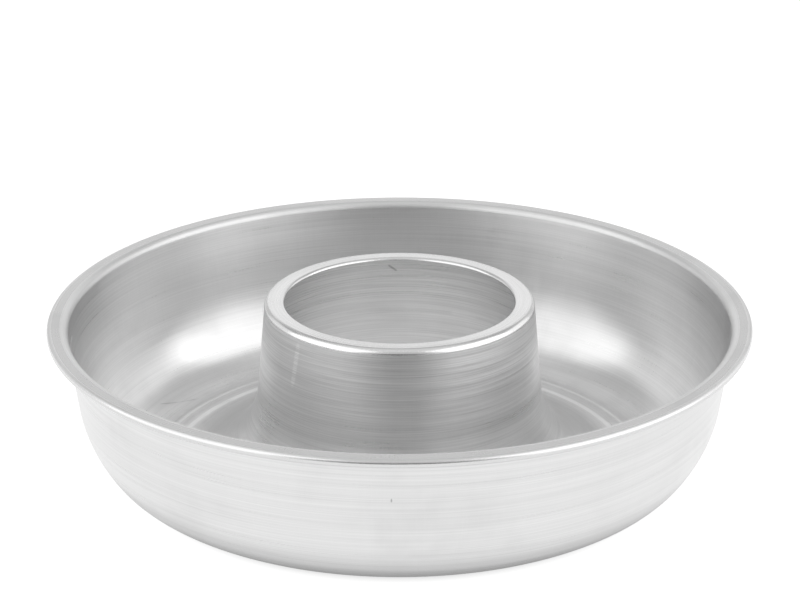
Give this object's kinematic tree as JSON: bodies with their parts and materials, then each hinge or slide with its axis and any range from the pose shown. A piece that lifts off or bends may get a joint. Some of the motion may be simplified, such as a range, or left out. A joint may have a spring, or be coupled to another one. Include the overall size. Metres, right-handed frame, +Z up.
{
  "type": "tube cake pan",
  "caption": "Round ring-shaped baking pan spun from aluminium sheet, with an open tapered tube in the middle, a rounded channel and a flat rim with a curled edge.",
  "frame": {"origin": "on the pan's axis, at the table under it", "axes": "+Z up along the axis of the tube; the pan is the same all round"},
  "size_m": [0.28, 0.28, 0.0697],
  "materials": {
    "aluminium": "satin spun aluminium with fine turning lines"
  },
  "bodies": {
    "root": {"pan": "aluminium"}
  },
  "joints": []
}
